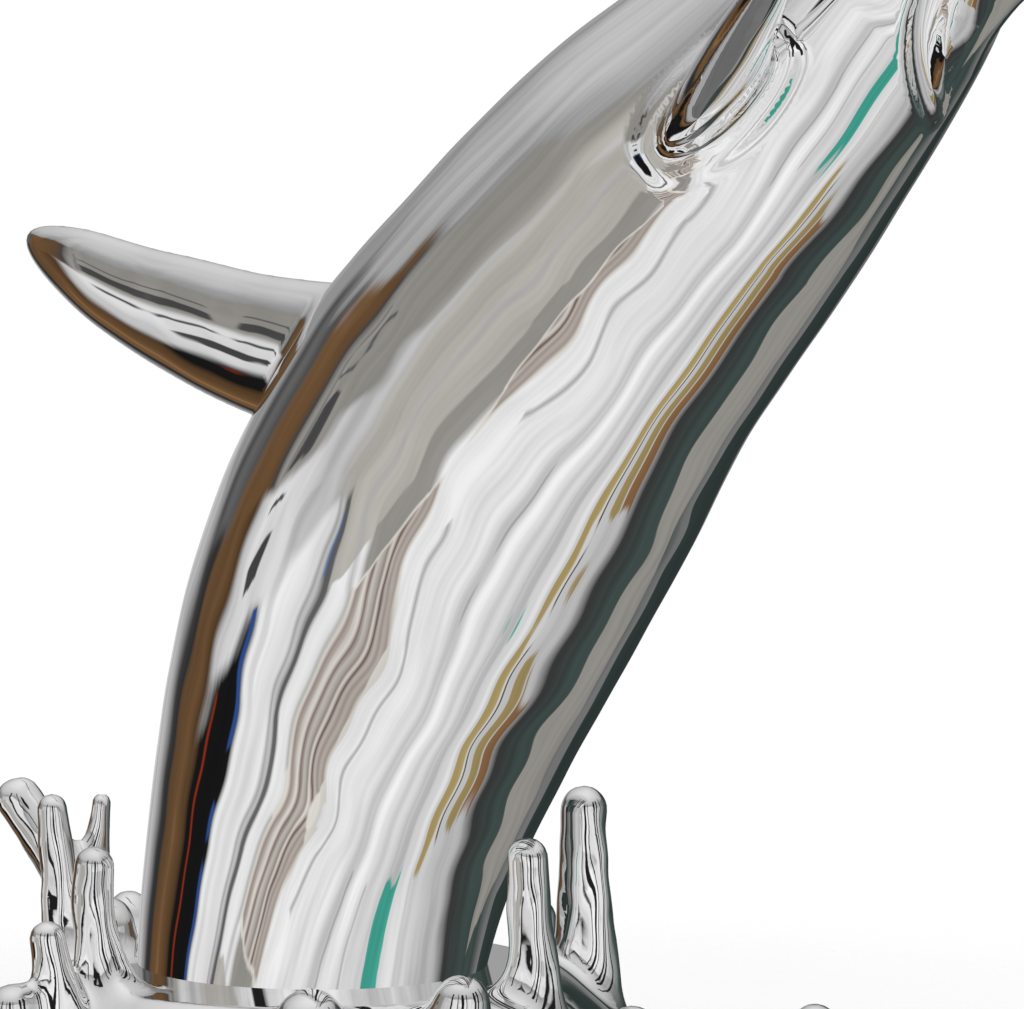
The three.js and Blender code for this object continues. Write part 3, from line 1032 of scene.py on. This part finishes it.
def with_card(behind, start, end, foot, top, colour):
    """The colour behind, with one card set before it."""
    share = between(panel_place, start, end, CARD_EDGE) * between(belt, foot, top, CARD_RIM)
    return mixed(share, behind, (*colour, 1))


row_chance = np.random.default_rng(11)


def row_of_stops(count, first, gap, widths):
    """Stops of a ramp: white on a row of narrow cards, each a little off its place, and black elsewhere."""
    stops = []
    for i in range(count):
        start = first + gap * (i + row_chance.uniform(-CARD_SHIFT, CARD_SHIFT))
        end = start + row_chance.uniform(*widths)
        stops += [(start, shade(0)), (start + CARD_EDGE, shade(1))]
        stops += [(end, shade(1)), (end + CARD_EDGE, shade(0))]
    return stops


def with_row(behind, count, first, gap, widths, foot, top, colour):
    """The colour behind, with a row of narrow upright cards set before it."""
    share = panels(row_of_stops(count, first, gap, widths)) * between(belt, foot, top, CARD_RIM)
    return mixed(share, behind, (*colour, 1))


seen = mixed(belt.rise(*LOW_TO_LEVEL), panels(LOW_PANELS), panels(LEVEL_PANELS))
seen = mixed(belt.rise(*LEVEL_TO_HIGH), seen, panels(HIGH_PANELS))
seen = mixed(belt.rise(*HIGH_TO_SKY), seen, panels(SKY, belt))
for card in CARDS:
    seen = with_card(seen, **card)
for row in ROWS:
    seen = with_row(seen, **row)
glow = streaks.rise(*GLOW_FROM) * GLOW_SPREAD + GLOW_LEAST
seen = Value.make(sky_tree, "ShaderNodeVectorMath", {"operation": "SCALE"}, {0: seen, "Scale": glow})

# %% The mirror sees the panels, the camera plain white
white = sky_tree.nodes["Background"]
white.inputs["Color"].default_value = (1.0, 1.0, 1.0, 1)
plain = Value(sky_tree, white.outputs[0])
mirrored = Value.make(sky_tree, "ShaderNodeBackground", inputs={"Color": seen, "Strength": 1.0})
towards_eye = Value.make(sky_tree, "ShaderNodeLightPath", output="Is Camera Ray")
shown = Value.make(sky_tree, "ShaderNodeMixShader", inputs={0: towards_eye, 1: mirrored, 2: plain})
sky_tree.links.new(shown.socket, sky_tree.nodes["World Output"].inputs["Surface"])
print("surroundings use", len(sky_tree.nodes), "nodes")

# %% [markdown]
# ## Light
#
# The panels give most of the light. One large soft light overhead adds the shadow on the floor. In a mirror
# it would show as a hard white square, so mirror rays pass it by as well.

# %% Top light
TOP_LIGHT_PLACE = np.array([0.6, -0.4, 4.5])
TOP_LIGHT_AIM = np.array([0.2, 0.0, 0.0])
TOP_LIGHT_SIZE = 3.0
TOP_LIGHT_POWER = 140.0

light_data = bpy.data.lights.new("top_light", "AREA")
light_data.size = TOP_LIGHT_SIZE
light_data.energy = TOP_LIGHT_POWER
top_light = bpy.data.objects.new("top_light", light_data)
top_light.location = TOP_LIGHT_PLACE
away = TOP_LIGHT_PLACE - TOP_LIGHT_AIM
tip = math.acos(away[2] / np.linalg.norm(away))
top_light.rotation_euler = (tip, 0, math.atan2(away[1], away[0]) + math.pi / 2)
top_light.visible_glossy = False
bpy.context.scene.collection.objects.link(top_light)
bpy.context.scene.view_settings.view_transform = "Standard"
print("light of", TOP_LIGHT_POWER, "watts")
